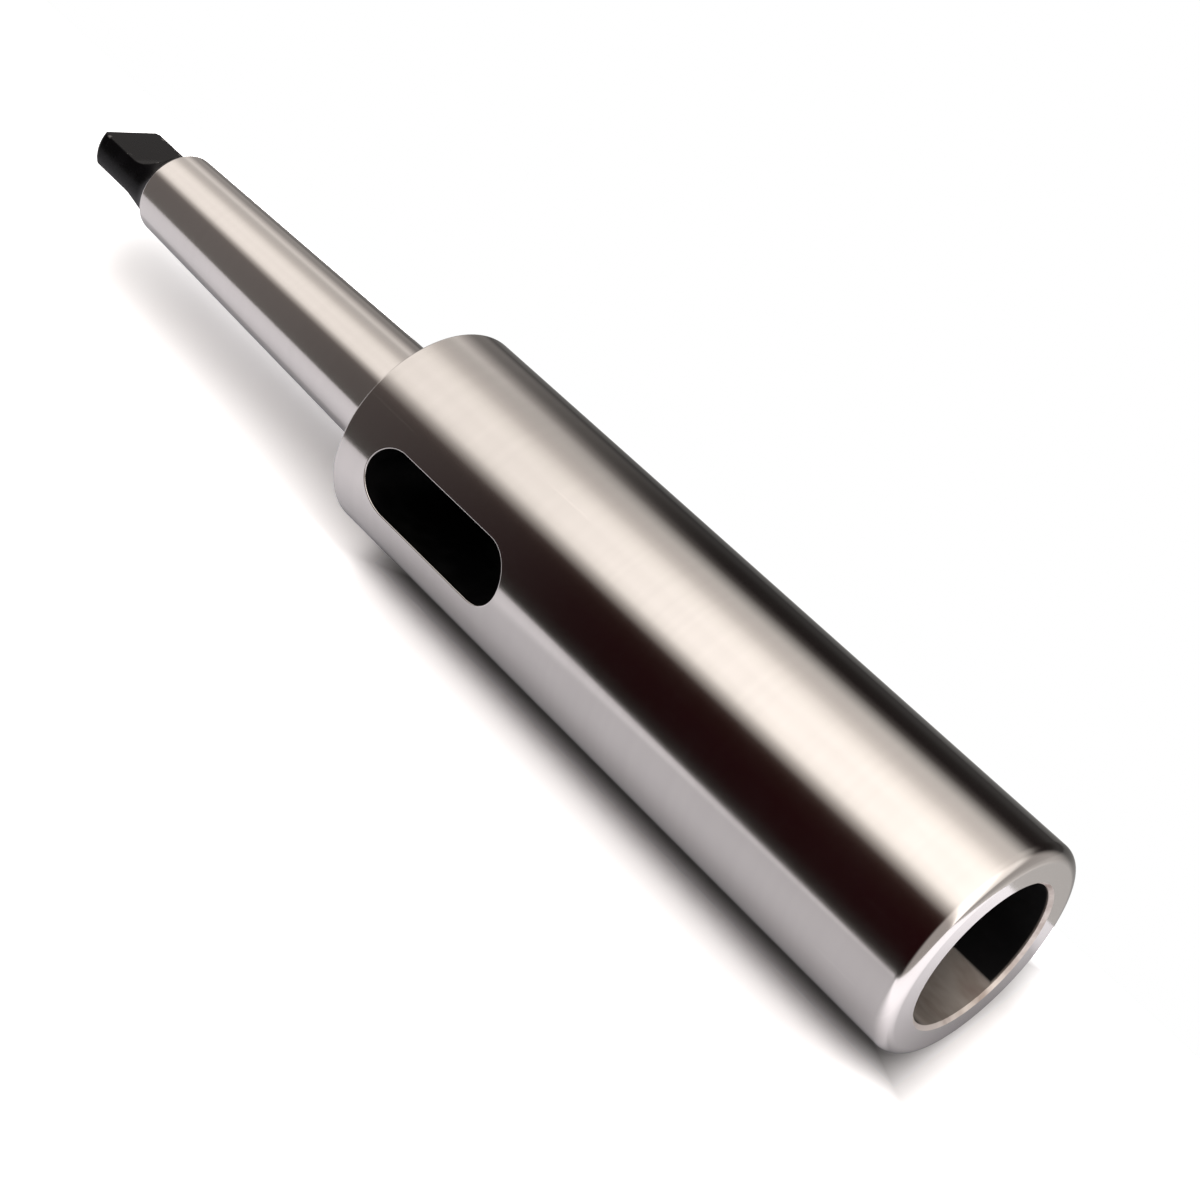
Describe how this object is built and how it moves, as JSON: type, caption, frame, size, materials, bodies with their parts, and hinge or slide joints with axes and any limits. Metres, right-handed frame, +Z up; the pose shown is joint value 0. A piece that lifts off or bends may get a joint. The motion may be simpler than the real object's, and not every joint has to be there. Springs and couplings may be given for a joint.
{
  "type": "morse taper extension sleeve",
  "caption": "One-piece taper extension sleeve: ground taper shank with a driving tang, plain round body, taper socket in its end and a drift slot through both walls.",
  "frame": {"origin": "centre of the mouth face, on the surface that the sleeve stands on", "axes": "+Z up the axis from the mouth to the tang, the drift slot passes through along Y, the tang's flats face +X and -X"},
  "size_m": [0.035, 0.035, 0.2045],
  "materials": {
    "ground_steel": "ground and polished outside, black from heat treatment on the tang and inside the slot"
  },
  "bodies": {
    "root": {"taper_sleeve": "ground_steel"}
  },
  "joints": []
}
